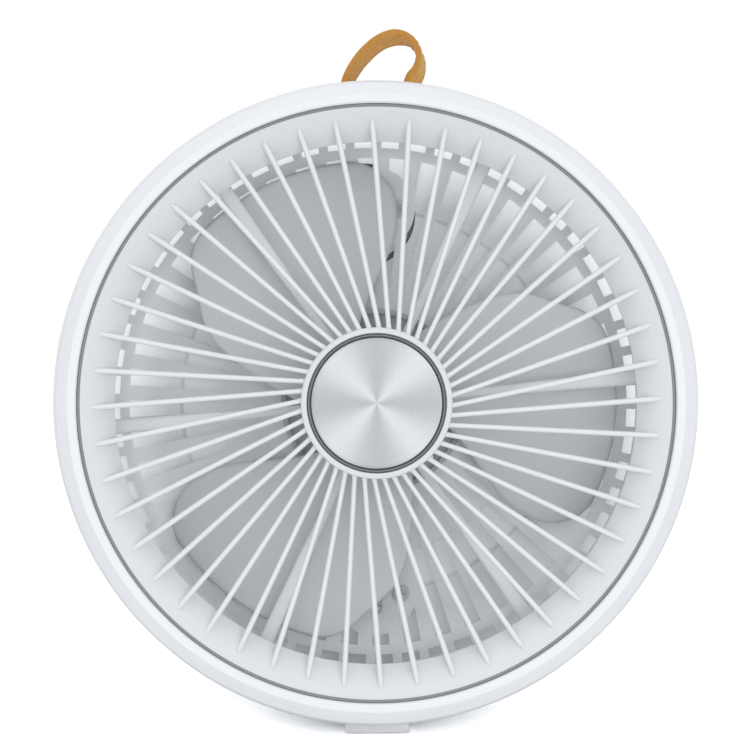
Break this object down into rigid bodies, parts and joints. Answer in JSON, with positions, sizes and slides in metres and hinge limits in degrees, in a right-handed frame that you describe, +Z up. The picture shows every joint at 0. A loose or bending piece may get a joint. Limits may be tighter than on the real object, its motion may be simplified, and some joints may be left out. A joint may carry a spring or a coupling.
{
  "type": "portable camping fan",
  "caption": "Round rechargeable camping fan: ribbed white head with a brushed metal hub disc, grey blades, rear battery pod, folding kickstand and leather carrying loop.",
  "frame": {"origin": "centre of the front rubber foot's flat face, on the table", "axes": "+Z up; +Y runs from the ribbed front to the rear; +X is to the right as seen from the front"},
  "size_m": [0.2, 0.1081, 0.2143],
  "materials": {
    "white_shell": "fine satin moulding",
    "grille_white": "satin moulding",
    "blade_grey": "satin moulding",
    "accent_grey": "satin",
    "spun_aluminium": "concentric brushed",
    "dark_mount": "moulded",
    "button_grey": "fine satin",
    "steel": "turned",
    "core_steel": "laminated",
    "magnet": "sintered",
    "copper": "enamelled wire",
    "board_green": "solder mask",
    "cell_wrap": "shrink film",
    "rubber_grey": "matt",
    "tan_leather": "suede edge, stitched",
    "brass_rivet": "satin",
    "light_pipe": "frosted",
    "black_plastic": "moulded",
    "lead_jacket": "cable jacket"
  },
  "bodies": {
    "head": {"front_rim": "white_shell", "accent_ring": "accent_grey", "front_grille": "grille_white", "badge_ring": "accent_grey", "hub_badge": "spun_aluminium", "stator_core": "core_steel", "stator_coils": "copper", "bearing_front": "steel", "bearing_rear": "steel", "motor_mount": "dark_mount", "driver_board": "board_green", "motor_screws": "steel", "rear_shell": "white_shell", "shell_screws": "steel", "strap": "tan_leather", "strap_anchor": "dark_mount", "strap_rivets": "brass_rivet", "front_foot": "rubber_grey", "pod_base": "white_shell", "pod_cover": "white_shell", "pod_screws": "steel", "cover_screws": "steel", "battery_upper": "cell_wrap", "battery_lower": "cell_wrap", "battery_cradle": "dark_mount", "main_board": "board_green", "charge_socket": "steel", "charge_lights": "light_pipe", "button_switches": "black_plastic", "motor_lead": "lead_jacket", "battery_lead": "lead_jacket", "stand_pins": "steel"},
    "impeller": {"impeller": "blade_grey", "impeller_nut": "steel", "motor_shaft": "steel", "rotor_can": "core_steel", "magnet_ring": "magnet", "shaft_clip": "steel"},
    "stand": {"stand": "white_shell", "stand_foot": "rubber_grey"},
    "power_button": {"power_button": "button_grey"},
    "speed_button": {"speed_button": "button_grey"},
    "port_cover": {"port_cover": "rubber_grey"}
  },
  "joints": [
    {"name": "impeller_spin", "type": "hinge", "parent": "head", "child": "impeller", "pos_m": [0, 0.0345, 0.09784], "axis": [0, 0.9848, -0.1736], "continuous": true},
    {"name": "stand_fold", "type": "hinge", "parent": "head", "child": "stand", "pos_m": [0, 0.05757, 0.0755], "axis": [1, 0, 0], "range_deg": [-30, 0]},
    {"name": "power_press", "type": "slide", "parent": "head", "child": "power_button", "axis": [0, -0.9848, 0.1736], "range_m": [0, 0.0006], "stiffness_N_per_m": 400},
    {"name": "speed_press", "type": "slide", "parent": "head", "child": "speed_button", "axis": [0, -0.9848, 0.1736], "range_m": [0, 0.0006], "stiffness_N_per_m": 400},
    {"name": "port_flap", "type": "hinge", "parent": "head", "child": "port_cover", "pos_m": [0, 0.07531, 0.05084], "axis": [-1, 0, 0], "range_deg": [0, 100], "stiffness_Nm_per_rad": 0.002}
  ]
}
